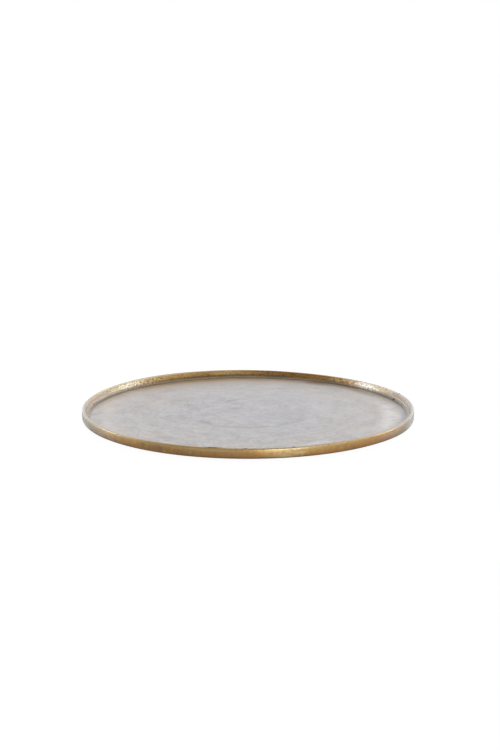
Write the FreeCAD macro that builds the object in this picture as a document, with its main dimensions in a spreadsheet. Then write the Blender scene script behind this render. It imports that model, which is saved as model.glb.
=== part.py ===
import FreeCAD
import Part

import os
import re

import Sketcher

# A candle plate: a flat disc with a low rim of rolled bar round it, on four felt pads.
# Millimetres. The origin is on the table under the middle of the plate, and +Z is up.
# The rim's bar meets itself at one place, where the gap is filled with braze, and a coved
# bead of braze joins the disc to the rim all the way round.

SIZES = {
    # Rim: a flat bar rolled into a hoop
    "rim_radius": 150.0,
    "rim_wall": 3.0,
    "rim_height": 9.0,
    "lip_round": 0.9,
    "heel_round": 1.0,
    "bore_round": 0.3,
    "seam_gap": 1.2,
    "seam_azimuth": 18.7,
    # Floor: a disc that stands inside the hoop
    "floor_thickness": 2.0,
    "floor_clearance": 0.1,
    "floor_bevel": 0.7,
    # Bead: braze in the corner between the disc and the hoop
    "bead_cove": 4.2,
    "bead_skin": 0.2,
    # Feet: felt pads, each on a film of adhesive, their middles inset from the hoop's outside
    "felt_radius": 10.0,
    "felt_thickness": 1.8,
    "felt_round": 0.4,
    "film_thickness": 0.2,
    "film_inset": 0.4,
    "pad_inset": 32.0,
}
PAD_COUNT = 4

# Places along a section, from the sizes above
RIM_BOTTOM = "felt_thickness + film_thickness"
RIM_TOP = RIM_BOTTOM + " + rim_height"
FLOOR_TOP = RIM_BOTTOM + " + floor_thickness"
BEVEL_FOOT = FLOOR_TOP + " - floor_bevel"
BEAD_TOP = FLOOR_TOP + " + bead_skin + bead_cove"
BORE_RADIUS = "rim_radius - rim_wall"
DISC_RADIUS = BORE_RADIUS + " - floor_clearance"
TOE_RADIUS = BORE_RADIUS + " - bead_skin - bead_cove"
PAD_CIRCLE_RADIUS = "(rim_radius - pad_inset)"
SEAM_ANGLE = "seam_gap / rim_radius * 180 / pi"

FULL_TURN = 360.0
START_INDEX, END_INDEX, CENTRE_INDEX = 1, 2, 3
ORIGIN_POINT = (-1, 1)
HORIZONTAL_AXIS_INDEX, VERTICAL_AXIS_INDEX = -1, -2
TOLERANCE = 1e-4

doc = FreeCAD.newDocument("candle_plate")
sheet = doc.addObject("Spreadsheet::Sheet", "sizes")


def fill_sheet():
    """Writes each size into a cell of its own, under its own name."""
    for row, (name, value) in enumerate(SIZES.items(), start=1):
        sheet.set(f"A{row}", name)
        sheet.set(f"B{row}", str(value))
        sheet.setAlias(f"B{row}", name)
    doc.recompute()


def sized(expression):
    """An expression in which each name of a size is read from the sheet."""
    return re.sub(r"\b[a-z]+(?:_[a-z]+)+\b", r"sizes.\g<0>", expression)


def worked_out(expression):
    """The number that an expression comes to now."""
    return float(sheet.evalExpression(sized(expression)))


def new_body(label):
    body = doc.addObject("PartDesign::Body", label)
    body.Label = label
    return body


def new_sketch(body, plane, name):
    """A sketch on one of the body's own origin planes."""
    sketch = body.newObject("Sketcher::SketchObject", name)
    origin_plane = next(item for item in body.Origin.OriginFeatures if item.Role == plane)
    sketch.AttachmentSupport = [(origin_plane, "")]
    sketch.MapMode = "FlatFace"
    return sketch


def tie_point(sketch, geometry, point, across, up):
    """Ties a point of the sketch to two expressions, or to an axis where one is nought."""
    for kind, axis, expression in (
        ("DistanceX", VERTICAL_AXIS_INDEX, across),
        ("DistanceY", HORIZONTAL_AXIS_INDEX, up),
    ):
        if expression == "0":
            sketch.addConstraint(Sketcher.Constraint("PointOnObject", geometry, point, axis))
            continue
        value = worked_out(expression)
        tie = Sketcher.Constraint(kind, *ORIGIN_POINT, geometry, point, value)
        at = sketch.addConstraint(tie)
        sketch.setExpression(f"Constraints[{at}]", sized(expression))


def draw_outline(sketch, corners):
    """A closed outline of straight lines through corners given as expressions."""
    points = [FreeCAD.Vector(worked_out(across), worked_out(up), 0) for across, up in corners]
    following = points[1:] + points[:1]
    lines = [sketch.addGeometry(Part.LineSegment(a, b), False) for a, b in zip(points, following)]
    for line, next_line in zip(lines, lines[1:] + lines[:1]):
        sketch.addConstraint(Sketcher.Constraint("Coincident", line, END_INDEX, next_line, START_INDEX))
    for line, (across, up) in zip(lines, corners):
        tie_point(sketch, line, START_INDEX, across, up)


def draw_circle(sketch, across, up, radius):
    """A circle whose centre and radius are given as expressions."""
    middle = FreeCAD.Vector(worked_out(across), worked_out(up), 0)
    circle = Part.Circle(middle, FreeCAD.Vector(0, 0, 1), worked_out(radius))
    ring = sketch.addGeometry(circle, False)
    tie_point(sketch, ring, CENTRE_INDEX, across, up)
    at = sketch.addConstraint(Sketcher.Constraint("Radius", ring, worked_out(radius)))
    sketch.setExpression(f"Constraints[{at}]", sized(radius))


def turned(body, kind, sketch, angle=None):
    """Turns a section about the plate's upright axis, a full turn unless an angle is given."""
    feature = body.newObject(f"PartDesign::{kind}", f"{body.Name}_{kind}")
    feature.Profile = sketch
    feature.ReferenceAxis = (sketch, ["V_Axis"])
    feature.Angle = FULL_TURN
    if angle:
        feature.Midplane = True
        feature.setExpression("Angle", sized(angle))
    sketch.Visibility = False
    doc.recompute()
    return feature


def ring_edges(shape, radius, height):
    """The names of the edges that run round the upright axis at a radius and height."""
    across, up = worked_out(radius), worked_out(height)
    found = []
    for number, edge in enumerate(shape.Edges, start=1):
        if not isinstance(edge.Curve, Part.Circle):
            continue
        if abs(edge.Curve.Axis.z) < 1 - TOLERANCE:
            continue
        if abs(edge.Curve.Radius - across) < TOLERANCE and abs(edge.Curve.Center.z - up) < TOLERANCE:
            found.append(f"Edge{number}")
    return found


def rounded(body, base, places, radius):
    """Rounds the ring edges at each (radius, height) of a feature."""
    edges = [name for place in places for name in ring_edges(base.Shape, *place)]
    if len(edges) < len(places):
        raise ValueError(f"{body.Label}: an edge to round with {radius} was not found")
    fillet = body.newObject("PartDesign::Fillet", f"{body.Name}_{radius}")
    fillet.Base = (base, edges)
    fillet.setExpression("Radius", sized(radius))
    doc.recompute()
    return fillet


def bar_section(label, angle):
    """A stretch of the rim's bar, rounded like the rim, centred on azimuth nought."""
    body = new_body(label)
    sketch = new_sketch(body, "XZ_Plane", f"{label}_section")
    draw_outline(sketch, [
        (BORE_RADIUS, RIM_BOTTOM),
        ("rim_radius", RIM_BOTTOM),
        ("rim_radius", RIM_TOP),
        (BORE_RADIUS, RIM_TOP),
    ])
    bar = turned(body, "Revolution", sketch, angle)
    lip = rounded(body, bar, [(BORE_RADIUS, RIM_TOP), ("rim_radius", RIM_TOP)], "lip_round")
    heel = rounded(body, lip, [("rim_radius", RIM_BOTTOM)], "heel_round")
    rounded(body, heel, [(BORE_RADIUS, RIM_BOTTOM)], "bore_round")
    return body


def turn_about_axis(body, azimuth):
    body.Placement = FreeCAD.Placement(
        FreeCAD.Vector(), FreeCAD.Rotation(FreeCAD.Vector(0, 0, 1), worked_out(azimuth))
    )
    body.setExpression("Placement.Rotation.Angle", sized(azimuth))


def rim_hoop():
    """The rolled bar: all of the turn but the seam."""
    body = bar_section("rim_hoop", f"{FULL_TURN} - {SEAM_ANGLE}")
    turn_about_axis(body, "seam_azimuth + 180")
    return body


def hoop_seam():
    """The braze that fills the gap between the bar's two ends."""
    body = bar_section("hoop_seam", SEAM_ANGLE)
    turn_about_axis(body, "seam_azimuth")
    return body


def floor_disc():
    """The flat disc, bevelled round its upper edge to take the bead."""
    body = new_body("floor_disc")
    sketch = new_sketch(body, "XZ_Plane", "floor_disc_section")
    draw_outline(sketch, [
        ("0", RIM_BOTTOM),
        (DISC_RADIUS, RIM_BOTTOM),
        (DISC_RADIUS, BEVEL_FOOT),
        (TOE_RADIUS, FLOOR_TOP),
        ("0", FLOOR_TOP),
    ])
    turned(body, "Revolution", sketch)
    return body


def foot_bead():
    """The bead in the corner: a filled corner with a round cove cut out of it."""
    body = new_body("foot_bead")
    sketch = new_sketch(body, "XZ_Plane", "foot_bead_section")
    draw_outline(sketch, [
        (TOE_RADIUS, FLOOR_TOP),
        (DISC_RADIUS, BEVEL_FOOT),
        (BORE_RADIUS, BEVEL_FOOT),
        (BORE_RADIUS, BEAD_TOP),
        (TOE_RADIUS, BEAD_TOP),
    ])
    corner = turned(body, "Revolution", sketch)
    filled = corner.Shape.Volume
    cove = new_sketch(body, "XZ_Plane", "foot_bead_cove")
    draw_circle(cove, TOE_RADIUS, BEAD_TOP, "bead_cove")
    groove = turned(body, "Groove", cove)
    if not 0 < groove.Shape.Volume < filled:
        raise ValueError("the cove cut nothing out of the bead")
    return body


def pad_layer(label, radius, bottom, thickness):
    """A round layer of a pad, drawn on the plate's axis."""
    body = new_body(label)
    sketch = new_sketch(body, "XY_Plane", f"{label}_outline")
    draw_circle(sketch, "0", "0", radius)
    layer = body.newObject("PartDesign::Pad", f"{label}_layer")
    layer.Profile = sketch
    layer.setExpression("Length", sized(thickness))
    sketch.setExpression("AttachmentOffset.Base.z", sized(bottom))
    sketch.Visibility = False
    doc.recompute()
    return body, layer


def move_to_pad(body, index):
    """Puts a layer at one of the evenly spaced pads, half a pitch away from the seam."""
    azimuth = f"(seam_azimuth + {FULL_TURN} / {PAD_COUNT} * ({index} + 1 / 2)) * 1 deg"
    body.setExpression("Placement.Base.x", sized(f"{PAD_CIRCLE_RADIUS} * cos({azimuth})"))
    body.setExpression("Placement.Base.y", sized(f"{PAD_CIRCLE_RADIUS} * sin({azimuth})"))


def felt_pads():
    """Round felt pads, each stuck under the disc by a thin film."""
    layers = []
    for index in range(PAD_COUNT):
        felt, layer = pad_layer(f"felt_pad_{index + 1}", "felt_radius", "0", "felt_thickness")
        rounded(felt, layer, [("felt_radius", "0"), ("felt_radius", "felt_thickness")], "felt_round")
        film, _ = pad_layer(
            f"pad_film_{index + 1}", "felt_radius - film_inset - felt_round",
            "felt_thickness", "film_thickness",
        )
        for body in (felt, film):
            move_to_pad(body, index)
            layers.append(body)
    return layers


def check_and_write(bodies):
    """Stops if anything failed to build, and otherwise writes one file for each body."""
    for item in doc.Objects:
        if {"Invalid", "Error"} & set(item.State):
            raise ValueError(f"{item.Label} did not build: {item.State}")
    for body in bodies:
        if body.Shape.isNull() or not body.Shape.isValid() or not body.Shape.Solids:
            raise ValueError(f"{body.Label} has no valid solid")
    os.makedirs("parts", exist_ok=True)
    for body in bodies:
        body.Shape.exportStep(os.path.join("parts", f"{body.Label}.step"))
        box = body.Shape.BoundBox
        print(
            f"{body.Label}: {len(body.Shape.Solids)} solid, {body.Shape.Volume:.1f} mm3, "
            f"x {box.XMin:.2f} {box.XMax:.2f}, y {box.YMin:.2f} {box.YMax:.2f}, "
            f"z {box.ZMin:.2f} {box.ZMax:.2f}"
        )


fill_sheet()
plate = [rim_hoop(), hoop_seam(), floor_disc(), foot_bead()] + felt_pads()
doc.recompute()
check_and_write(plate)
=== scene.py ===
import math

import bmesh
import bpy
from mathutils import Matrix, Vector


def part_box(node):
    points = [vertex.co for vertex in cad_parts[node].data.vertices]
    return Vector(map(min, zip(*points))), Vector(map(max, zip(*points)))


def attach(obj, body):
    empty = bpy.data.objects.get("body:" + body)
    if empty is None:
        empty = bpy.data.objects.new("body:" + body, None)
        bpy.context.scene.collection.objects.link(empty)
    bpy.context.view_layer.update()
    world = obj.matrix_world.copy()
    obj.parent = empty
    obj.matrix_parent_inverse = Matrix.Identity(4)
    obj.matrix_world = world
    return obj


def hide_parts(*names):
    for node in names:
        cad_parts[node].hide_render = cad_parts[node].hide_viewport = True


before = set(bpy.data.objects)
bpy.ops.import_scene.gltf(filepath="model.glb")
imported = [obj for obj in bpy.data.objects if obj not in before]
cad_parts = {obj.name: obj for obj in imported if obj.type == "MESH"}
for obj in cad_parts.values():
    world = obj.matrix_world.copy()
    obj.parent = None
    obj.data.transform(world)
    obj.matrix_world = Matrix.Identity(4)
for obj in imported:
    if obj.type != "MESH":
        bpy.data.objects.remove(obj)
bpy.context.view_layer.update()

# A candle plate of antiqued metal. Metres, in the plate's own frame: the origin is on the
# table under its middle, +Z is up, and the photograph looks along +Y.

MM = 0.001
SLACK = 0.02 * MM

# The plate's levels and radii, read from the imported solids
RIM_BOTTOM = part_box("rim_hoop")[0].z
RIM_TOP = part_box("rim_hoop")[1].z
RIM_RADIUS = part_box("rim_hoop")[1].y
FLOOR_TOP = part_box("floor_disc")[1].z
DISC_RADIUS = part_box("floor_disc")[1].y
BEAD_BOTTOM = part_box("foot_bead")[0].z
BEAD_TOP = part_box("foot_bead")[1].z

# The bar that the rim is rolled from
BAR_WIDTH = 3 * MM
BAR_HEIGHT = RIM_TOP - RIM_BOTTOM
LIP_ROUND = 0.9 * MM
HEEL_ROUND = 1.5 * MM
BORE_ROUND = 0.3 * MM
WALL_CROWN = 0.35 * MM
BORE_RADIUS = RIM_RADIUS - BAR_WIDTH
HOOP_STEPS = 1400
SEAM_AZIMUTH = math.radians(18.7)
SEAM_GAP = 1.2 * MM
SEAM_SWEEP = SEAM_GAP / RIM_RADIUS
SEAM_STEPS = 8
SEAM_PROUD = 0.15 * MM

# Where the rim is out of true: height in millimetres, azimuth and half width in degrees
LIP_SWELLS = ((0.7, 128, 38), (-1.0, 56, 50))
HEEL_SAG = (-0.6, -20, 28)

# Nicks in the lip's inner edge: azimuth in degrees, half length and width in millimetres
LIP_NICKS = ((-101.3, 9.0, 2.35), (-90.8, 1.4, 2.4), (-75.3, 1.2, 2.3))
NICK_DEPTH = 0.6 * MM

# The braze bead in the corner
BEAD_SKIN = 0.2 * MM
BEAD_FEATHER = 0.9 * MM
BEAD_COVE = BEAD_TOP - FLOOR_TOP - BEAD_SKIN
BEAD_TOE = BORE_RADIUS - BEAD_SKIN - BEAD_COVE
COVE_VERTICES = 64
BEAD_STEPS = 900

# The pit in the bead under the seam, in millimetres
PIT_X, PIT_Y, PIT_LEVEL = 135.9, 49.5, 4.9
PIT_HALF_SIZES = (1.5, 1.1, 0.9)
PIT_TURN_DEGREES = -70

# The disc
DISC_STEPS = 400
TOP_RINGS = 138
UNDER_RINGS = 40

# Dim marks on the disc, in millimetres: x, y, half length, half width, turn in degrees, strength
FLOOR_MARKS = (
    (-16, 48, 13, 4, 47, 0.5), (-30, 36, 9, 3, 50, 0.3), (-12, 17, 9, 7, 20, 0.45),
    (-5, 36, 7, 2.5, 60, 0.25), (-56, 45, 4, 2, 90, 0.6), (-55, 29, 6, 3, 80, 0.4),
    (36, 26, 6, 5, 0, 0.35), (65, 98, 5, 3, 0, 0.5), (-38, -33, 14, 4, -40, 0.2),
    (30, 98, 12, 6, 0, 0.25),
)

# The felt pads
PAD_VERTICES = 96
PAD_ROUND = 0.4 * MM
PAD_RINGS = 6

# Uneven surfaces: how wide their features are, and how deep
HAMMER_MARKS = (2.0 * MM, 0.20 * MM)
ROLLING_MARKS = (3 * MM, 0.07 * MM)
BEAD_LUMPS = (5 * MM, 0.25 * MM)
DISC_WAVES = (40 * MM, 0.10 * MM)
FELT_LUMPS = (1.5 * MM, 0.12 * MM)

# How far the hammer marks reach out from the bore, and where the rolling marks begin
HAMMERED_REACH = 1.2 * MM
ROLLED_START = 1.5 * MM

# The camera: an 85 mm lens on a full-frame picture, 1.61 m from the plate
PICTURE_HEIGHT_PIXELS = 750
LENS_MM, SENSOR_MM = 85.0, 36.0
CAMERA_DISTANCE = 1.607
VIEW_ELEVATION = math.radians(14.07)
# How far the middle of the plate's base lies from the middle of the picture
BASE_LEFT_PIXELS, BASE_DOWN_PIXELS = 1.95, 40.2


# Modelling steps

def deselect():
    bpy.ops.object.select_all(action="DESELECT")


def pick(piece):
    """Makes a piece the active one and the only one selected."""
    deselect()
    piece.select_set(True)
    bpy.context.view_layer.objects.active = piece


def start_plane(name, width, height, radius, level):
    """A plane that stands on edge in the XZ plane, centred at a radius and a level."""
    deselect()
    bpy.ops.mesh.primitive_plane_add(size=1, location=(radius, 0, level), rotation=(math.pi / 2, 0, 0))
    piece = bpy.context.object
    piece.name = piece.data.name = name
    piece.scale = (width, height, 1)
    bpy.ops.object.transform_apply()
    bpy.ops.object.mode_set(mode="EDIT")
    return piece


def choose(piece, kind, test):
    """Selects the vertices, edges or faces that pass a test on their corners, and nothing else."""
    bpy.ops.mesh.select_mode(type={"verts": "VERT", "edges": "EDGE", "faces": "FACE"}[kind])
    bpy.ops.mesh.select_all(action="DESELECT")
    shape = bmesh.from_edit_mesh(piece.data)
    for element in getattr(shape, kind):
        corners = [element.co] if kind == "verts" else [corner.co for corner in element.verts]
        if test(corners):
            element.select_set(True)
    shape.select_flush_mode()
    bmesh.update_edit_mesh(piece.data)


def close_to(a, b):
    return abs(a - b) < SLACK


def radius_of(point):
    return math.hypot(point[0], point[1])


def cut_edges(piece, cuts, test):
    choose(piece, "edges", test)
    bpy.ops.mesh.subdivide(number_cuts=cuts)


def round_corners(piece, size, segments, test):
    """Rounds the chosen corners of a section."""
    choose(piece, "verts", test)
    bpy.ops.mesh.bevel(offset=size, segments=segments, affect="VERTICES")


def extrude(across, up):
    """Extrudes what is selected in the XZ plane."""
    bpy.ops.mesh.extrude_region_move(TRANSFORM_OT_translate={"value": (across, 0, up)})


def spin_section(piece, steps, sweep, first_azimuth=0.0):
    """Turns the section in hand about the plate's axis, from one azimuth over a sweep."""
    bpy.ops.object.mode_set(mode="OBJECT")
    turn = piece.modifiers.new("turn", "SCREW")
    turn.axis = "Z"
    turn.angle = sweep
    turn.steps = turn.render_steps = steps
    turn.use_merge_vertices = False
    bpy.ops.object.modifier_apply(modifier=turn.name)
    bpy.ops.object.mode_set(mode="EDIT")
    bpy.ops.mesh.select_all(action="SELECT")
    bpy.ops.mesh.remove_doubles(threshold=0.002 * MM)
    if sweep < math.tau:
        bpy.ops.mesh.fill_holes(sides=0)
    bpy.ops.mesh.select_all(action="SELECT")
    bpy.ops.mesh.normals_make_consistent(inside=False)
    bpy.ops.object.mode_set(mode="OBJECT")
    piece.data.transform(Matrix.Rotation(first_azimuth, 4, "Z"))


def weigh(piece, group_name, weight):
    """A vertex group whose weights are a function of the vertex's place."""
    group = piece.vertex_groups.new(name=group_name)
    for vertex in piece.data.vertices:
        amount = weight(vertex.co)
        if amount > 0:
            group.add([vertex.index], min(1.0, amount), "REPLACE")
    return group.name


def displace(piece, texture, depth, direction="NORMAL", group="", mid_level=0.5):
    """Moves the surface by a texture: by up to half of depth each way, or at mid_level 1 only inwards."""
    pick(piece)
    modifier = piece.modifiers.new("displaced", "DISPLACE")
    modifier.texture = texture
    modifier.texture_coords = "LOCAL"
    modifier.direction = direction
    modifier.mid_level = mid_level
    modifier.strength = depth
    modifier.vertex_group = group
    bpy.ops.object.modifier_apply(modifier=modifier.name)


def roughen(piece, name, feature, depth, **how):
    """Displaces the surface by soft noise whose features are about one length across."""
    texture = bpy.data.textures.new(name, "CLOUDS")
    texture.noise_scale = feature
    displace(piece, texture, depth, **how)


def lift(piece, height, weight):
    """Raises the surface by a height times a function of the vertex's place."""
    displace(piece, None, height, direction="Z", group=weigh(piece, "lifted", weight), mid_level=0)


def near_azimuth(azimuth_degrees, half_width_degrees, share_at):
    """A weight that is a level's share at an azimuth, and falls to 0 on either side of it."""
    def weight(at):
        away = math.degrees(math.atan2(at.y, at.x)) - azimuth_degrees
        away = abs((away + 180) % 360 - 180) / half_width_degrees
        return (0.5 + 0.5 * math.cos(math.pi * min(1.0, away))) * share_at(at.z)
    return weight


def share_of_lip(level):
    """Rises from nought at the floor to one at the lip."""
    return (level - FLOOR_TOP) / (RIM_TOP - FLOOR_TOP)


def share_of_heel(level):
    """Rises from nought at the lip to one at the rim's lower edge."""
    return (RIM_TOP - level) / BAR_HEIGHT


def smooth(piece, angle_degrees):
    pick(piece)
    bpy.ops.object.shade_smooth_by_angle(angle=math.radians(angle_degrees))


def finish_piece(piece, finish, slot, *nodes):
    """Gives a piece its material and its body, and hides the nodes that it stands for. The slot is not used.
    """
    piece.data.materials.clear()
    piece.data.materials.append(finish)
    piece.vertex_groups.clear()
    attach(piece, "root")
    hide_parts(*nodes)


def blacken_lip(piece, finish, azimuth_degrees, half_length, width):
    """Gives the lip's inner edge a second material over a short stretch that tapers to its ends."""
    if finish.name not in piece.data.materials:
        piece.data.materials.append(finish)
    for face in piece.data.polygons:
        x, y, z = face.center
        along = (math.atan2(y, x) - math.radians(azimuth_degrees)) * RIM_RADIUS / half_length
        reach = width * (1 - 0.5 * along ** 2)
        if z > RIM_TOP - NICK_DEPTH and abs(along) < 1 and radius_of(face.center) - BORE_RADIUS < reach:
            face.material_index = len(piece.data.materials) - 1


# Materials

class Nodes:
    """A node tree whose nodes are added and joined by short calls."""

    def __init__(self, tree):
        self.tree = tree

    def node(self, kind, **settings):
        """Adds a node. A setting is one of its properties, or else goes to the socket of that name."""
        node = self.tree.nodes.new(kind)
        for name, value in settings.items():
            if hasattr(node, name):
                setattr(node, name, value)
            else:
                self.feed(node.inputs[name], value)
        return node

    def feed(self, socket, value):
        """Links a socket to another, or sets its own value."""
        if isinstance(value, bpy.types.NodeSocket):
            self.tree.links.new(value, socket)
        elif value is not None:
            socket.default_value = value

    def math(self, operation, first, second=None):
        node = self.node("ShaderNodeMath", operation=operation)
        self.feed(node.inputs[0], first)
        self.feed(node.inputs[1], second)
        return node.outputs["Value"]

    def product(self, *factors):
        total = factors[0]
        for factor in factors[1:]:
            total = self.math("MULTIPLY", total, factor)
        return total

    def ramp(self, value, start, end, low=0.0, high=1.0):
        """Rises smoothly from low to high as a value goes from start to end."""
        node = self.node("ShaderNodeMapRange", interpolation_type="SMOOTHSTEP")
        for socket, given in zip(node.inputs, (value, start, end, low, high)):
            self.feed(socket, given)
        return node.outputs["Result"]

    def band(self, value, middle, width):
        """One at a middle value, falling to nought at a width on either side."""
        away = self.math("ABSOLUTE", self.math("SUBTRACT", value, middle))
        return self.ramp(away, width, 0.0)


class Finish(Nodes):
    """A material that is painted by place. Its lengths are millimetres."""

    def __init__(self, name, roughness=0.4, metallic=1.0):
        self.material = bpy.data.materials.new(name)
        self.material.use_nodes = True
        super().__init__(self.material.node_tree)
        self.shader = self.tree.nodes["Principled BSDF"]
        self.paint("Metallic", metallic)
        self.paint("Roughness", roughness)
        metres = self.node("ShaderNodeTexCoord").outputs["Object"]
        self.place = self.vector("SCALE", metres, Scale=1 / MM)
        flat = self.vector("MULTIPLY", self.place, (1, 1, 0))
        self.radius = self.length(flat)
        self.outward = self.vector("NORMALIZE", flat)
        apart = self.node("ShaderNodeSeparateXYZ", Vector=self.place)
        self.across, self.along, self.level = (apart.outputs[axis] for axis in "XYZ")
        self.sideways = self.math("ABSOLUTE", self.across)
        self.colour = None

    def paint(self, socket, value):
        self.feed(self.shader.inputs[socket], value)

    def lacquer(self, weight, roughness):
        self.paint("Coat Weight", weight)
        self.paint("Coat IOR", 1.5)
        self.paint("Coat Roughness", roughness)

    def vector(self, operation, first, second=None, **sockets):
        node = self.node("ShaderNodeVectorMath", operation=operation, **sockets)
        self.feed(node.inputs[0], first)
        self.feed(node.inputs[1], second)
        return node.outputs["Vector"]

    def length(self, vector):
        return self.node("ShaderNodeVectorMath", operation="LENGTH", Vector=vector).outputs["Value"]

    def spot(self, x, y, half_length, half_width, turned_degrees=0.0):
        """One in the middle of an oval at a place in the plan, falling to nought at its edge."""
        near = self.node(
            "ShaderNodeMapping", vector_type="TEXTURE", Vector=self.place, Location=(x, y, 0),
            Rotation=(0, 0, math.radians(turned_degrees)), Scale=(half_length, half_width, 1000),
        ).outputs["Vector"]
        return self.ramp(self.length(near), 1.0, 0.3)

    def noise(self, feature, detail=3.0, at=None, distortion=0.0):
        """Soft noise from nought to one, whose features are about one length across."""
        node = self.node(
            "ShaderNodeTexNoise", Vector=at or self.place, Scale=1 / feature,
            Detail=detail, Roughness=0.55, Distortion=distortion,
        )
        return node.outputs["Fac"]

    def streaks(self, length, width, across, detail=3.0):
        """Noise drawn out along the turning of the plate, with a length and a width."""
        around = self.vector("SCALE", self.outward, Scale=RIM_RADIUS / MM / length)
        step = self.math("DIVIDE", across, width)
        lift = self.node("ShaderNodeCombineXYZ", Z=step).outputs["Vector"]
        return self.noise(1.0, detail, at=self.vector("ADD", around, lift))

    def mix(self, amount, first, second, blend="MIX"):
        """Goes from a first colour to a second. Each is a colour or a socket."""
        node = self.node("ShaderNodeMix", data_type="RGBA", blend_type=blend)
        colours = [socket for socket in node.inputs if socket.type == "RGBA"]
        self.feed(node.inputs[0], amount)
        for socket, colour in zip(colours, (first, second)):
            self.feed(socket, (*colour, 1.0) if isinstance(colour, tuple) else colour)
        return next(socket for socket in node.outputs if socket.type == "RGBA")

    def wash(self, name, colour, *where, blend="MIX"):
        """Lays a named colour over the one so far, as strongly as the product of the factors given."""
        self.colour = self.mix(self.product(*where), self.colour, colour, blend)
        self.colour.node.label = name

    def tint(self, name, colour, *where):
        """Multiplies the colour so far by a named one."""
        self.wash(name, colour, *where, blend="MULTIPLY")

    def relief(self, *layers):
        """Bumps the surface by layers of (pattern, depth in millimetres)."""
        height = 0.0
        for pattern, depth in layers:
            height = self.math("ADD", height, self.math("MULTIPLY", pattern, depth))
        bump = self.node("ShaderNodeBump", Strength=1.0, Distance=MM, Height=height)
        self.paint("Normal", bump.outputs["Normal"])


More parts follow.
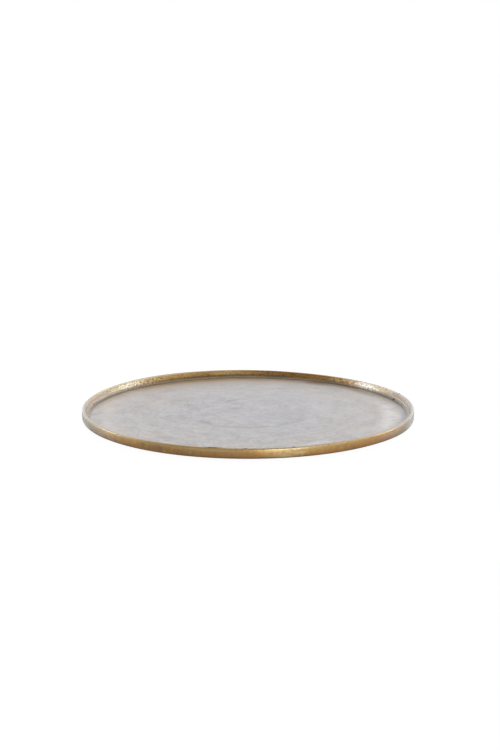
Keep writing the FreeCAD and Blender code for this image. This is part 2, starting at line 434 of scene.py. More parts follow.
class Gilding(Finish):
    """Lacquered brass: browner low down, paler at the plate's two ends, and beaten on the inner wall."""

    def __init__(self, name):
        super().__init__(name)
        self.inside = self.ramp(self.radius, 148.6, 147.8)
        self.outside = self.math("SUBTRACT", 1.0, self.inside)
        self.at_back = self.product(self.inside, self.ramp(self.along, 0, 20))
        self.patches = self.noise(24, detail=4)
        self.mottle = self.noise(2.6, detail=4)
        self.pebbles = self.noise(1.9, detail=2)
        self.upright = self.streaks(1.7, 14, self.level, detail=3)
        shift = self.ramp(self.mottle, 0.3, 0.7, -3, 3)
        self.ragged = self.math("ADD", self.across, shift)
        self.ragged_sideways = self.math("ADD", self.sideways, self.math("MULTIPLY", shift, 2.0))
        self.lay_brass()
        self.wear_brass()
        self.fade_outer_ends()
        self.fade_inner_ends()
        self.mark_seam_and_corner()
        self.mark_glints()
        self.tone_outer_wall()
        self.tone_lip()

    def lay_brass(self):
        """The brass, with a painted highlight patch under the front highlight and a stain to its left."""
        ramp, band, level = self.ramp, self.band, self.level
        patchy_level = self.math("ADD", level, ramp(self.patches, 0.3, 0.7, -1.6, 1.6))
        self.colour = self.mix(ramp(patchy_level, 3.5, 10.5), (0.64, 0.325, 0.10), (0.71, 0.45, 0.158))
        # Painted highlight: a light patch where the key lamp's highlight falls on the front wall.
        self.wash(
            "painted front highlight", (0.80, 0.63, 0.31),
            band(self.ragged, 31, 22), ramp(level, 7, 3.5, 0.4, 1.0), self.outside,
        )
        self.wash(
            "stain", (0.30, 0.19, 0.10),
            band(self.ragged, -76, 26), ramp(level, 9.5, 6.5, 0, 0.4), ramp(level, 3.5, 5.5), self.outside,
        )
        # Painted reflection: the heel is paled as if it mirrored the white table.
        self.wash("heel", (0.62, 0.40, 0.19), ramp(level, 3.2, 2.4))
        self.wash(
            "low gold", (0.40, 0.24, 0.09),
            ramp(level, 9.8, 8.2), self.inside, ramp(self.ragged, -15, -50), 0.55,
        )

    def wear_brass(self):
        """Mottling, blotches, scratches with painted highlight streaks, hammer marks and a rubbed upper edge.
        """
        ramp, band, level, sideways = self.ramp, self.band, self.level, self.sideways
        self.wash("mottle", (0.24, 0.14, 0.07), ramp(self.mottle, 0.48, 0.8, 0, 0.45))
        self.wash(
            "blotches", self.mix(ramp(self.across, -40, 40), (0.27, 0.22, 0.13), (0.43, 0.24, 0.12)),
            ramp(self.noise(6, detail=4), 0.48, 0.62), ramp(sideways, 25, 80, 0.15, 0.5), self.outside,
            ramp(level, 9.8, 7.5),
        )
        self.wash(
            "glossed", (0.86, 0.62, 0.27),
            ramp(self.noise(5, detail=3), 0.56, 0.68), ramp(sideways, 15, 70), self.outside, 0.4,
        )
        # Painted highlight: lighter upright streaks, partly scratches, where the front highlight falls.
        self.wash(
            "painted streaks and scratches", (0.80, 0.56, 0.25),
            ramp(self.upright, 0.45, 0.75, 0, 0.35), band(self.ragged, 25, 45), self.outside,
        )
        self.wash("hammered", (0.20, 0.11, 0.04), ramp(self.pebbles, 0.50, 0.66, 0, 0.58), self.inside)
        self.wash(
            "rubbed", (0.78, 0.62, 0.36),
            ramp(level, 8.8, 10.5), ramp(self.mottle, 0.7, 0.4, 0.1, 0.45), ramp(sideways, 120, 60, 0.2, 1),
            ramp(self.ragged, 10, -20, 0.75, 1.35), self.outside,
        )

    def fade_outer_ends(self):
        """Painted reflection greys and then pales the outer wall towards the two ends; painted shade dims the
        side lamps.
        """
        ramp, band, level, sideways = self.ramp, self.band, self.level, self.sideways
        # Painted reflection: towards the two ends the outer wall greys, whitens, and low down mirrors the
        # white table.
        self.wash(
            "painted grey reflection at the ends", (0.58, 0.52, 0.44), ramp(self.ragged_sideways, 98, 150, 0, 0.85), self.outside
        )
        self.wash(
            "painted white reflection at the ends", (0.93, 0.89, 0.84),
            ramp(sideways, 136, 147), ramp(self.across, -60, 60, 0.5, 0.95), ramp(level, 10.8, 9.6),
            self.outside,
        )
        self.wash(
            "painted table reflection low at the ends", (1.0, 0.98, 0.95), ramp(sideways, 138, 146), ramp(level, 8, 4), self.outside, 0.9
        )
        self.tint(
            "ruddy", (0.97, 0.87, 0.78),
            band(self.ragged, 120, 24), ramp(level, 10.0, 9.0), self.outside, 0.85,
        )
        # Painted shade that dims the side lamps' reflections on the outer wall.
        self.wash(
            "painted shade at the side lamps", (0.38, 0.25, 0.12),
            band(sideways, 110, 20), ramp(level, 6.5, 9.5), self.outside, 0.35,
        )

    def fade_inner_ends(self):
        """Painted reflection pales the inner wall towards the two ends, with painted highlights; it is warm
        at the left end.
        """
        ramp, band, level = self.ramp, self.band, self.level
        # Painted reflection and painted highlight: the inner wall paled at the ends and under the right lamp.
        self.wash("painted pale reflection inside", (0.66, 0.63, 0.55), ramp(self.ragged_sideways, 86, 118, 0, 0.85), self.inside)
        painted_highlight = self.product(band(self.ragged, 113, 15), ramp(level, 9, 7.5))
        upper_end_reflection = self.product(ramp(self.sideways, 128, 142, 0, 0.6), ramp(level, 7.2, 9.0))
        self.wash("painted_highlight", (0.88, 0.85, 0.79), self.math("ADD", painted_highlight, upper_end_reflection), self.inside)
        self.wash(
            "left glint", (0.98, 0.90, 0.72),
            band(self.ragged, -108, 20), ramp(level, 8.8, 9.8), self.inside, 0.8,
        )
        self.wash(
            "right glint", (0.98, 0.93, 0.84),
            band(self.ragged, 110, 14), ramp(level, 7.2, 8.2), self.inside, 0.5,
        )
        self.tint("warm left", (1.0, 0.91, 0.75), ramp(self.across, -108, -127), self.inside, 0.8)

    def mark_seam_and_corner(self):
        """The wall beside the seam, the crease, and painted shade in the corner and below the ledge at the
        two ends.
        """
        ramp, band, level, across = self.ramp, self.band, self.level, self.across
        self.wash(
            "before the seam", (0.84, 0.69, 0.42),
            ramp(across, 119, 126), ramp(across, 136.0, 135.2), ramp(level, 6, 7.5), self.at_back, 0.65,
        )
        self.wash(
            "past the seam", (0.60, 0.47, 0.36),
            ramp(across, 135.2, 136.0), ramp(across, 148, 139), ramp(level, 6, 7.5), self.at_back, 0.9,
        )
        # Painted shade in the corner at the two ends of the inner wall.
        self.wash(
            "corner", (0.38, 0.325, 0.265),
            ramp(self.sideways, 116, 138), ramp(level, 9.0, 6.6), ramp(across, -60, 60, 0.6, 0.8),
            ramp(across, 148, 143, 0.5, 1.0), self.inside,
        )
        # Painted shade below the ledge at the two ends.
        self.wash(
            "painted shade beneath the ledge", (0.24, 0.19, 0.155),
            band(level, 5.8, 1.7), ramp(self.sideways, 136, 143), ramp(across, -60, 60, 0.8, 0.95),
            self.inside,
        )
        self.wash(
            "crease", (0.92, 0.82, 0.74),
            band(level, 7.4, 0.8), ramp(across, -139, -145), self.inside, 0.35,
        )
        self.tint("warm end", (0.91, 0.85, 0.79), band(across, -142, 9), ramp(level, 7.0, 8.5), self.inside)
        self.tint(
            "pink end", (1.0, 0.88, 0.82), ramp(level, 8.0, 6.5), ramp(across, -137, -145), self.inside, 0.8
        )

    def mark_glints(self):
        """Painted highlight on the braze under the two glints, and the painted sparkle, painted shade and
        specks that break them up.
        """
        ramp, band, level, sideways = self.ramp, self.band, self.level, self.sideways
        below_right = self.product(band(self.across, 111, 12), 0.7)
        below_left = self.product(band(self.across, -130, 16), 0.4)
        # Painted highlight on the braze below the two glints.
        self.wash(
            "painted highlight on the braze", (1.0, 0.95, 0.88),
            self.math("ADD", below_right, below_left), band(level, 5.5, 1.1), self.inside,
        )
        self.wash(
            "lower left glint", (1.0, 0.94, 0.86),
            band(self.ragged, -110, 15), band(level, 6.8, 1.2), self.inside, 0.6,
        )
        # Painted sparkle: light and dark specks near the two glints.
        sparkle = self.noise(2.8, detail=3)
        near_the_glints = self.product(
            ramp(sideways, 75, 88), ramp(self.across, -116, -104), ramp(self.across, 109, 98), self.inside
        )
        self.wash("dark chips", (0.27, 0.16, 0.07), ramp(sparkle, 0.50, 0.60, 0, 0.65), near_the_glints)
        self.wash("light chips", (0.98, 0.84, 0.56), ramp(sparkle, 0.46, 0.36, 0, 0.6), near_the_glints)
        # Painted shade beside the right glint.
        self.wash(
            "painted shade next to the glint", (0.36, 0.23, 0.11),
            band(self.ragged, 92, 10), band(level, 7.0, 1.4), self.inside, 0.35,
        )
        self.wash(
            "specks", (0.42, 0.31, 0.15),
            ramp(self.pebbles, 0.50, 0.62, 0, 0.75), ramp(sideways, 80, 104), ramp(sideways, 137, 131),
            self.inside,
        )

    def tone_outer_wall(self):
        """The crown, the orange stretch at the back, and painted highlight, light and shade on the outer wall
        from place to place.
        """
        ramp, band, level, ragged = self.ramp, self.band, self.level, self.ragged
        self.wash(
            "crown", self.mix(self.inside, (0.84, 0.77, 0.65), (0.84, 0.72, 0.48)),
            ramp(level, 10.3, 10.9, 0, 0.55),
        )
        self.tint(
            "orange", (1.0, 0.93, 0.82),
            ramp(self.across, -10, 35), ramp(self.across, 96, 76), self.at_back, 0.9,
        )
        # Painted shade that dims the top of the front highlight.
        self.wash(
            "painted shade at the highlight's top", (0.42, 0.29, 0.13),
            band(ragged, 32, 34), ramp(level, 8.6, 9.8), ramp(level, 10.8, 10.3), self.outside, 0.35,
        )
        self.tint("highlight", (0.90, 0.965, 0.99), band(ragged, 32, 30), ramp(level, 6.5, 8.5), self.outside)
        # Painted shade dims the side lamps' reflections at left and right; painted light brightens the right
        # wall.
        self.tint("painted shade left on the lip", (0.93, 0.97, 1.0), band(ragged, -120, 22), ramp(level, 8.6, 9.8), self.outside)
        self.tint("painted light on the right side", (1.07, 1.07, 1.03), band(ragged, 72, 22), ramp(level, 9.4, 8.6), self.outside)
        self.tint(
            "painted shade right on the lip", (0.93, 0.94, 0.96), band(ragged, 107, 24), ramp(level, 7.0, 8.6), self.outside
        )
        # Painted reflection: the upper front wall lightened as if it mirrored the room above.
        self.wash(
            "painted reflection on the front top", (0.95, 0.64, 0.27), band(ragged, -34, 48), ramp(level, 6.8, 9.2), self.outside, 0.65
        )
        # Painted highlight and painted shade that shape the front highlight.
        self.wash(
            "painted highlight top", (0.95, 0.84, 0.60), band(ragged, 48, 18), ramp(level, 9.2, 10), self.outside, 0.4
        )
        self.wash(
            "painted shade within the highlight", (0.32, 0.21, 0.10),
            band(level, 8.1, 1.2), band(ragged, 42, 24), self.outside, 0.3,
        )
        self.wash(
            "painted dab in the highlight", (0.90, 0.74, 0.42), band(ragged, 43, 7), band(level, 6.0, 2.2), self.outside, 0.5
        )

    def tone_lip(self):
        """The lip and the wall just under it, from place to place, with painted reflection and highlight."""
        ramp, band, level, across, sideways = self.ramp, self.band, self.level, self.across, self.sideways
        # Painted reflection of the key lamp on the upper inner wall at the back.
        self.wash(
            "painted key reflection at the back", (0.98, 0.72, 0.32),
            band(self.ragged, -20, 20), ramp(level, 9.0, 9.8), self.at_back, 0.6,
        )
        self.tint("yellow", (1.0, 0.95, 0.74), ramp(level, 9.2, 10), ramp(sideways, 105, 70), self.inside)
        self.wash(
            "pale lip", (1.0, 0.87, 0.56), ramp(level, 10.3, 10.9), ramp(across, -15, -45), self.at_back, 0.8
        )
        # Painted highlight on the lip under the right lamp.
        self.wash(
            "painted highlight on the right lip", (0.99, 0.98, 0.96), ramp(level, 10.2, 10.7), ramp(across, 96, 110), self.at_back, 0.8
        )
        # Painted reflection: the outer lip paled near the two ends.
        self.wash(
            "painted pale reflection on the lip", (0.88, 0.87, 0.86),
            ramp(level, 10.3, 10.9), band(sideways, 108, 34), self.outside, 0.6,
        )
        self.wash("dull ends", (0.52, 0.475, 0.435), ramp(level, 9.8, 10.7), ramp(sideways, 136, 148, 0, 0.6))
        self.wash("dull right", (0.50, 0.465, 0.45), ramp(level, 10.0, 10.8), ramp(across, 132, 142), 0.4)

    def hammer_and_brush(self):
        """The relief: brushed outside, beaten inside."""
        brushed = self.streaks(14, 0.35, self.math("ADD", self.level, self.radius), detail=4)
        beaten = self.product(self.pebbles, self.inside, self.ramp(self.sideways, 139, 132, 0.25, 1))
        self.relief(
            (self.product(brushed, self.outside), 0.02), (self.upright, 0.008), (self.mottle, 0.015),
            (beaten, 0.45),
        )


def antique_gold():
    """The rim's bar: brass, brushed outside and beaten inside, with a dulled lip."""
    gold = Gilding("antique_gold")
    gold.paint("Base Color", gold.colour)
    dull_lip = gold.ramp(gold.level, 9.8, 10.6, 0, 0.2)
    gold.paint("Roughness", gold.math("ADD", gold.ramp(gold.mottle, 0.3, 0.7, 0.32, 0.42), dull_lip))
    gold.lacquer(1.0, 0.1)
    gold.hammer_and_brush()
    return gold.material


def brazed_foot():
    """The bead: grey-brown braze in the corner at the back, painted shade at its toe, and gilded over at the
    sides.
    """
    foot = Gilding("brazed_foot")
    ramp, sideways = foot.ramp, foot.sideways
    gilt = foot.colour
    clouded = foot.noise(18, detail=4)
    foot.colour = foot.mix(ramp(foot.level, 4.2, 5.3), (0.62, 0.51, 0.36), (0.50, 0.41, 0.26))
    foot.wash("mottle", (0.36, 0.30, 0.18), ramp(foot.mottle, 0.35, 0.7, 0, 0.5))
    foot.wash(
        "sooty", (0.275, 0.23, 0.155),
        ramp(foot.across, 0, 30), ramp(foot.across, 115, 90), ramp(foot.level, 4.4, 5.2), 0.95,
    )
    braze_level = foot.math("ADD", foot.level, ramp(clouded, 0.3, 0.7, -0.5, 0.5))
    bare = foot.product(ramp(braze_level, 6.4, 5.2), ramp(sideways, 103, 84))
    foot.colour = foot.mix(bare, gilt, foot.colour)
    toe_level = foot.math("ADD", foot.level, ramp(clouded, 0.3, 0.7, -0.2, 0.2))
    # Painted shade along the toe, in the crevice where the bead meets the floor.
    foot.wash(
        "toe", (0.19, 0.145, 0.10),
        ramp(toe_level, 5.2, 4.5), ramp(sideways, 50, 90), ramp(foot.across, -60, 60, 0.5, 0.8),
        ramp(sideways, 147, 137, 0.6, 1.0),
    )
    foot.wash("pit", (0.02, 0.016, 0.012), foot.spot(PIT_X, PIT_Y, 2.3, 1.8, PIT_TURN_DEGREES))
    foot.paint("Base Color", foot.colour)
    foot.paint("Roughness", ramp(foot.mottle, 0.3, 0.7, 0.34, 0.46))
    foot.lacquer(0.7, 0.15)
    foot.hammer_and_brush()
    return foot.material


def turned_grey():
    """The disc: grey metal brushed in circles, clouded, with painted light, reflection and shade at its
    margins, a ring mark and faint stains.
    """
    grey = Finish("turned_grey", roughness=0.42)
    ramp, band, across, along, radius = grey.ramp, grey.band, grey.across, grey.along, grey.radius
    wide = grey.noise(46, detail=3, distortion=0.5)
    patches = grey.noise(14, detail=5, distortion=0.8)
    pebbles = grey.noise(3.6, detail=2)
    rings_fine = grey.streaks(24, 0.8, radius, detail=4)
    clouded_radius = grey.math("ADD", radius, ramp(wide, 0.3, 0.7, -30, 30))
    grey.colour = grey.mix(ramp(clouded_radius, 45, 105), (0.71, 0.70, 0.735), (0.75, 0.712, 0.69))
    grey.wash("patches", (0.60, 0.59, 0.595), ramp(patches, 0.38, 0.68), ramp(across, -70, 60, 0.8, 0.5))
    grey.wash("pebbles", (0.56, 0.538, 0.53), ramp(pebbles, 0.32, 0.74), ramp(along, -40, -100, 0.72, 1.0))
    rings_wide = grey.streaks(50, 8, radius, detail=3)
    grey.wash("wide rings", (0.79, 0.78, 0.775), ramp(rings_wide, 0.42, 0.68, 0, 0.4))
    grey.wash("fine rings", (0.79, 0.78, 0.77), ramp(rings_fine, 0.35, 0.7, 0, 0.3))
    # Painted light: pale patches near the two ends, where the curved wall focuses light onto the floor.
    grey.wash(
        "painted caustic light at the ends", (0.93, 0.90, 0.885),
        band(radius, 129, 17), ramp(grey.sideways, 104, 129), ramp(wide, 0.3, 0.6, 0.6, 1.0),
        ramp(across, -60, 60, 0.5, 1.0), ramp(grey.noise(7, detail=4), 0.35, 0.55, 0.55, 1.05),
        grey.math("MAXIMUM", ramp(across, 20, -20), ramp(along, 70, 30, 0.25, 1.0)),
    )
    # Painted reflection of the gold wall in the floor's back margin.
    grey.wash(
        "painted wall reflection at the back margin", (1.0, 0.87, 0.70),
        ramp(radius, 116, 136), ramp(across, 90, 10), ramp(grey.sideways, 116, 70), ramp(along, -90, -30),
        ramp(patches, 0.62, 0.45, 0.8, 1.0),
    )
    hues = grey.mix(ramp(grey.noise(24, detail=3), 0.38, 0.62), (1.02, 0.998, 0.99), (0.99, 0.998, 1.012))
    grey.tint("hues", hues, 1.0)
    grey.tint(
        "lavender middle", (1.0, 0.998, 1.02),
        ramp(radius, 118, 100), ramp(across, -70, 10, 0.4, 1.0), ramp(along, -50, 0, 0.3, 1.0),
    )
    # Painted reflection of the gold wall in the floor's left margin.
    grey.wash(
        "painted wall reflection at the left margin", (1.0, 0.89, 0.79),
        ramp(radius, 124, 134), ramp(across, -80, -110), ramp(along, 10, 40), 0.35,
    )
    grey.wash(
        "shaded toe", (0.44, 0.38, 0.31),
        ramp(radius, 130, 142), band(grey.sideways, 106, 36), ramp(across, -60, 60, 0.15, 0.75),
    )
    # Painted bluish shade on the floor next to the wall at the right.
    grey.wash(
        "painted bluish shade at the margin", (0.51, 0.505, 0.545),
        ramp(radius, 136, 141.5), ramp(across, 120, 134), ramp(along, 20, -10), 0.9,
    )
    grey.wash("pale back", (0.86, 0.84, 0.83), ramp(along, 30, 110, 0, 0.3))
    wobbling_radius = grey.math("ADD", radius, ramp(patches, 0.3, 0.7, -3, 3))
    grey.wash("ring mark", (0.50, 0.49, 0.51), band(wobbling_radius, 53, 4), ramp(along, -8, -30, 0.1, 0.55))
    grey.wash("brown stain", (0.50, 0.39, 0.27), grey.spot(66, 120, 16, 10, -28), 0.55)
    # Painted reflection: a warm spot near the back wall.
    grey.wash("painted warm reflection spot", (1.0, 0.76, 0.58), grey.spot(-36, 132, 20, 6, 15), 0.5)
    grey.wash("right stain", (0.55, 0.45, 0.34), grey.spot(110, 80, 24, 8, -54), 0.5)
    # Painted reflection of the gold wall along the floor's edge at the back left.
    grey.wash(
        "painted wall reflection along the toe", (1.0, 0.86, 0.70),
        band(radius, 139.5, 6), ramp(across, 15, -30), ramp(across, -125, -108), ramp(along, 0, 20), 0.7,
    )
    for x, y, half_length, half_width, turned_degrees, strength in FLOOR_MARKS:
        mark = grey.spot(x, y, half_length, half_width, turned_degrees)
        grey.wash("dim mark", (0.46, 0.455, 0.465), mark, strength)
    grey.wash(
        "light smear", (0.90, 0.88, 0.89), grey.spot(61, -103, 14, 6, 20), ramp(pebbles, 0.3, 0.6, 0.3, 0.7)
    )
    plain = grey.mix(ramp(patches, 0.3, 0.7), (0.66, 0.655, 0.665), (0.60, 0.59, 0.60))
    grey.wash("underside", plain, ramp(grey.level, 3.4, 2.8))
    grey.paint("Base Color", grey.colour)
    grey.paint("Roughness", ramp(patches, 0.3, 0.7, 0.38, 0.46))
    grey.relief((pebbles, 0.04), (rings_fine, 0.02), (grey.streaks(14, 0.25, radius), 0.006))
    return grey.material


def dark_nick():
    """Bare, blackened metal where the lip is nicked."""
    nick = Finish("dark_nick", roughness=0.8, metallic=0.0)
    nick.paint("Base Color", nick.mix(nick.noise(1.2), (0.05, 0.038, 0.024), (0.09, 0.07, 0.045)))
    nick.paint("Specular IOR Level", 0.1)
    return nick.material


def wool_felt():
    felt = Finish("wool_felt", roughness=0.95, metallic=0.0)
    fibres = felt.noise(0.6, detail=5, distortion=1.5)
    lit_fibres = felt.ramp(fibres, 0.3, 0.7)
    felt.paint("Base Color", felt.mix(lit_fibres, (0.10, 0.078, 0.062), (0.19, 0.155, 0.125)))
    felt.paint("Sheen Weight", 0.4)
    felt.relief((fibres, 0.25))
    return felt.material


def adhesive_film():
    film = Finish("adhesive_film", roughness=0.35, metallic=0.0)
    film.paint("Base Color", film.mix(film.noise(2.0), (0.80, 0.75, 0.60), (0.70, 0.64, 0.50)))
    return film.material


# Shapes

def crown_wall(bar, middle_level):
    """Draws the selected wall of a section in towards its top and bottom, so that it bulges a little."""
    shape = bmesh.from_edit_mesh(bar.data)
    for vertex in shape.verts:
        if vertex.select:
            share = (vertex.co.z - middle_level) / (BAR_HEIGHT / 2)
            vertex.co.x -= WALL_CROWN * share ** 2
    bmesh.update_edit_mesh(bar.data)


def bar_stretch(name, first_azimuth, sweep, steps):
    """A stretch of the rim's bar: a rounded section, spun round the plate."""
    middle_radius = (BORE_RADIUS + RIM_RADIUS) / 2
    middle_level = (RIM_BOTTOM + RIM_TOP) / 2
    bar = start_plane(name, BAR_WIDTH, BAR_HEIGHT, middle_radius, middle_level)
    round_corners(bar, LIP_ROUND, 5, lambda at: at[0].z > middle_level)
    round_corners(bar, HEEL_ROUND, 5, lambda at: at[0].z < middle_level and at[0].x > middle_radius)
    round_corners(
        bar, BORE_ROUND, 2, lambda at: close_to(at[0].z, RIM_BOTTOM) and close_to(at[0].x, BORE_RADIUS)
    )
    bpy.ops.mesh.select_all(action="SELECT")
    bpy.ops.mesh.delete(type="ONLY_FACE")
    cut_edges(bar, 13, lambda at: abs(at[0].z - at[1].z) > BAR_HEIGHT / 2)
    cut_edges(bar, 2, lambda at: abs(at[0].x - at[1].x) > BAR_WIDTH / 3)
    choose(bar, "verts", lambda at: at[0].x > middle_radius)
    crown_wall(bar, middle_level)
    spin_section(bar, steps, sweep, first_azimuth)
    return bar


def floor_disc():
    """The disc, with rings enough for its turned and slightly uneven face."""
    thickness = FLOOR_TOP - RIM_BOTTOM
    middle_level = RIM_BOTTOM + thickness / 2
    disc = start_plane("floor_disc_turned", DISC_RADIUS, thickness, DISC_RADIUS / 2, middle_level)
    cut_edges(disc, 1, lambda at: close_to(at[0].x, at[1].x) and close_to(at[0].x, DISC_RADIUS))
    choose(disc, "verts", lambda at: close_to(at[0].x, DISC_RADIUS) and close_to(at[0].z, FLOOR_TOP))
    bpy.ops.transform.translate(value=(BEAD_TOE - DISC_RADIUS, 0, 0))
    choose(disc, "verts", lambda at: close_to(at[0].x, DISC_RADIUS) and at[0].z > RIM_BOTTOM + thickness / 4)
    bpy.ops.transform.translate(value=(0, 0, BEAD_BOTTOM - RIM_BOTTOM - thickness / 2))
    choose(disc, "edges", lambda at: close_to(at[0].x, 0) and close_to(at[1].x, 0))
    bpy.ops.mesh.delete(type="EDGE_FACE")
    cut_edges(disc, TOP_RINGS, lambda at: close_to(at[0].z, FLOOR_TOP) and close_to(at[1].z, FLOOR_TOP))
    cut_edges(disc, UNDER_RINGS, lambda at: close_to(at[0].z, RIM_BOTTOM) and close_to(at[1].z, RIM_BOTTOM))
    spin_section(disc, DISC_STEPS, math.tau)
    return disc


def foot_bead():
    """The braze bead: a corner filled with a cove."""
    deselect()
    bpy.ops.mesh.primitive_circle_add(
        vertices=COVE_VERTICES, radius=BEAD_COVE,
        location=(BEAD_TOE, 0, BEAD_TOP), rotation=(math.pi / 2, 0, 0),
    )
    bead = bpy.context.object
    bead.name = bead.data.name = "foot_bead_brazed"
    bpy.ops.object.transform_apply()
    bpy.ops.object.mode_set(mode="EDIT")
    choose(bead, "verts", lambda at: at[0].x < BEAD_TOE - SLACK or at[0].z > BEAD_TOP + SLACK)
    bpy.ops.mesh.delete(type="VERT")
    choose(bead, "verts", lambda at: close_to(at[0].x, BEAD_TOE))
    extrude(0, -BEAD_SKIN)
    extrude(DISC_RADIUS - BEAD_TOE, BEAD_BOTTOM - FLOOR_TOP)
    choose(bead, "verts", lambda at: close_to(at[0].z, BEAD_TOP))
    extrude(BEAD_SKIN, BEAD_FEATHER)
    extrude(0, BEAD_BOTTOM - BEAD_TOP - BEAD_FEATHER)
    choose(bead, "verts", lambda at: close_to(at[0].z, BEAD_BOTTOM))
    bpy.ops.mesh.edge_face_add()
    spin_section(bead, BEAD_STEPS, math.tau)
    return bead


def cut_pit(bead):
    """Takes a small pit out of the bead."""
    deselect()
    bpy.ops.mesh.primitive_ico_sphere_add(
        subdivisions=3, radius=MM, location=(PIT_X * MM, PIT_Y * MM, PIT_LEVEL * MM),
        rotation=(0, 0, math.radians(PIT_TURN_DEGREES)), scale=PIT_HALF_SIZES,
    )
    cutter = bpy.context.object
    bpy.context.view_layer.objects.active = bead
    pit = bead.modifiers.new("pit", "BOOLEAN")
    pit.operation, pit.object = "DIFFERENCE", cutter
    bpy.ops.object.modifier_apply(modifier=pit.name)
    bpy.data.objects.remove(cutter)


def felt_pad(node):
    """A felt pad: a short cylinder with soft edges and a hairy side."""
    low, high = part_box(node)
    radius = (high.x - low.x) / 2
    deselect()
    bpy.ops.mesh.primitive_cylinder_add(
        vertices=PAD_VERTICES, radius=radius, depth=high.z - low.z,
        end_fill_type="NGON", location=(low + high) / 2,
    )
    pad = bpy.context.object
    pad.name = pad.data.name = node + "_felted"
    bpy.ops.object.transform_apply()
    bpy.ops.object.mode_set(mode="EDIT")
    choose(pad, "edges", lambda at: close_to(at[0].z, at[1].z))
    bpy.ops.mesh.bevel(offset=PAD_ROUND, segments=4, affect="EDGES")
    for ring in range(PAD_RINGS):
        choose(pad, "faces", lambda at: len(at) > 4)
        bpy.ops.mesh.inset(thickness=radius / (PAD_RINGS + 2))
    choose(pad, "faces", lambda at: len(at) > 4)
    bpy.ops.mesh.poke()
    bpy.ops.object.mode_set(mode="OBJECT")
    roughen(pad, "felt_lumps", *FELT_LUMPS, mid_level=1.0)
    smooth(pad, 80)
    return pad


# The pieces

gold, foot, grey, nick = antique_gold(), brazed_foot(), turned_grey(), dark_nick()
felt, film = wool_felt(), adhesive_film()

hoop = bar_stretch("rim_hoop_rolled", SEAM_AZIMUTH + SEAM_SWEEP / 2, math.tau - SEAM_SWEEP, HOOP_STEPS)
seam = bar_stretch("hoop_seam_filled", SEAM_AZIMUTH - SEAM_SWEEP / 2, SEAM_SWEEP, SEAM_STEPS)
disc = floor_disc()
bead = foot_bead()

inner_wall = weigh(hoop, "inner_wall", lambda at: (BORE_RADIUS + HAMMERED_REACH - radius_of(at)) / MM)
roughen(hoop, "hammer_marks", *HAMMER_MARKS, group=inner_wall)
roughen(bead, "bead_lumps", *BEAD_LUMPS)
roughen(disc, "disc_waves", *DISC_WAVES, direction="Z")
outer_wall = weigh(hoop, "outer_wall", lambda at: (radius_of(at) - BORE_RADIUS - ROLLED_START) / MM)
roughen(hoop, "rolling_marks", *ROLLING_MARKS, group=outer_wall)

sag_height, *sag_place = HEEL_SAG
lift(hoop, sag_height * MM, near_azimuth(*sag_place, share_of_heel))
for piece in (hoop, bead):
    for swell_height, *swell_place in LIP_SWELLS:
        lift(piece, swell_height * MM, near_azimuth(*swell_place, share_of_lip))
lift(seam, SEAM_PROUD, lambda at: (at.z - BEAD_TOP) / (RIM_TOP - BEAD_TOP))
cut_pit(bead)
for piece in (hoop, seam, disc, bead):
    smooth(piece, 50)

finish_piece(hoop, gold, "rim", "rim_hoop")
for azimuth_degrees, half_length, width in LIP_NICKS:
    blacken_lip(hoop, nick, azimuth_degrees, half_length * MM, width * MM)
finish_piece(seam, gold, "rim", "hoop_seam")
finish_piece(disc, grey, "floor", "floor_disc")
finish_piece(bead, foot, "bead", "foot_bead")
for node in sorted(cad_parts):
    if node.startswith("felt_pad"):
        pad = felt_pad(node)
        finish_piece(pad, felt, "felt", node)
    if node.startswith("pad_film"):
        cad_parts[node].data.materials.clear()
        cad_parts[node].data.materials.append(film)


# The studio

def table_finish():
    """White, and nearly all of its own light to the camera, so that it only just holds a shadow."""
    table = Finish("white_table", roughness=0.6, metallic=0.0)
    table.paint("Base Color", (0.9, 0.9, 0.9, 1))
    table.paint("Specular IOR Level", 0.2)
    glow = table.node("ShaderNodeEmission", Color=(1, 1, 1, 1), Strength=1.07).outputs["Emission"]
    seen = table.node("ShaderNodeLightPath").outputs["Is Camera Ray"]
    mixed = table.node("ShaderNodeMixShader")
    table.feed(mixed.inputs[0], table.product(seen, 0.9))
    table.feed(mixed.inputs[1], table.shader.outputs["BSDF"])
    table.feed(mixed.inputs[2], glow)
    table.feed(table.tree.nodes["Material Output"].inputs["Surface"], mixed.outputs["Shader"])
    return table.material


def white_room():
    """Plain light from all round: white to the camera, and in the metal white behind the plate,
    dimmer overhead and behind the camera."""
    world = bpy.data.worlds.new("white_room")
    bpy.context.scene.world = world
    world.use_nodes = True
    room = Nodes(world.node_tree)
    direction = room.node("ShaderNodeTexCoord").outputs["Generated"]
    split = room.node("ShaderNodeSeparateXYZ", Vector=direction)
    behind = room.ramp(split.outputs["Y"], -0.3, 0.25, 0.3, 1.0)
    overhead = room.ramp(split.outputs["Z"], 0.15, 0.5, 1.0, 0.65)
    seen = room.node("ShaderNodeLightPath").outputs["Is Camera Ray"]
    background = room.tree.nodes["Background"]
    room.feed(background.inputs["Color"], (1, 1, 1, 1))
    room.feed(background.inputs["Strength"], room.math("MAXIMUM", seen, room.product(behind, overhead)))


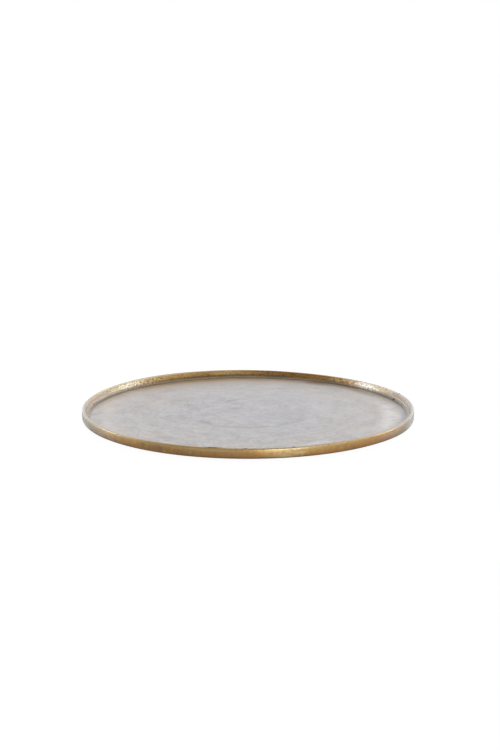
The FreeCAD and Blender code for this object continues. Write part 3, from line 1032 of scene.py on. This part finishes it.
def softbox(name, azimuth_degrees, elevation_degrees, distance, width, height, power, aim_at=(0, 0, 0)):
    """A wide lamp that faces a place on the plate. Azimuth 0 is over the camera, and 90 is on the right."""
    azimuth, elevation = math.radians(azimuth_degrees), math.radians(elevation_degrees)
    aim = Vector((
        math.sin(azimuth) * math.cos(elevation), -math.cos(azimuth) * math.cos(elevation), math.sin(elevation)
    ))
    lamp = bpy.data.lights.new(name, "AREA")
    lamp.shape, lamp.size, lamp.size_y, lamp.energy = "RECTANGLE", width, height, power
    holder = bpy.data.objects.new(name, lamp)
    bpy.context.collection.objects.link(holder)
    holder.location = Vector(aim_at) + aim * distance
    holder.rotation_euler = aim.to_track_quat("Z", "Y").to_euler()


def camera():
    toward = Vector((0, -math.cos(VIEW_ELEVATION), math.sin(VIEW_ELEVATION)))
    right = Vector((1, 0, 0))
    up = toward.cross(right)
    base_middle = Vector((0, 0, RIM_BOTTOM))
    metres_per_pixel = CAMERA_DISTANCE / (LENS_MM / SENSOR_MM * PICTURE_HEIGHT_PIXELS)
    aim = base_middle + (right * BASE_LEFT_PIXELS + up * BASE_DOWN_PIXELS) * metres_per_pixel
    lens = bpy.data.cameras.new("camera")
    lens.lens, lens.sensor_width = LENS_MM, SENSOR_MM
    seat = bpy.data.objects.new("camera", lens)
    bpy.context.collection.objects.link(seat)
    seat.location = base_middle + toward * CAMERA_DISTANCE
    seat.rotation_euler = (seat.location - aim).to_track_quat("Z", "Y").to_euler()
    bpy.context.scene.camera = seat


deselect()
bpy.ops.mesh.primitive_plane_add(size=12)
table = bpy.context.object
table.name = "table"
table.data.materials.append(table_finish())
white_room()
softbox("key", 22.5, 5, 0.29, 0.18, 0.07, 0.165, aim_at=(0.03, -0.147, 0.006))
softbox("fill", 58, 12, 1.0, 0.5, 0.3, 0.7)
softbox("left", -100, 8, 1.4, 0.6, 0.36, 2.8)
softbox("right", 100, 8, 1.4, 0.6, 0.36, 2.8)
softbox("back_left", -152, 8, 1.2, 0.6, 0.3, 0.4)
softbox("back_right", 152, 8, 1.2, 0.6, 0.3, 0.5)
camera()
bpy.context.scene.view_settings.view_transform = "Standard"
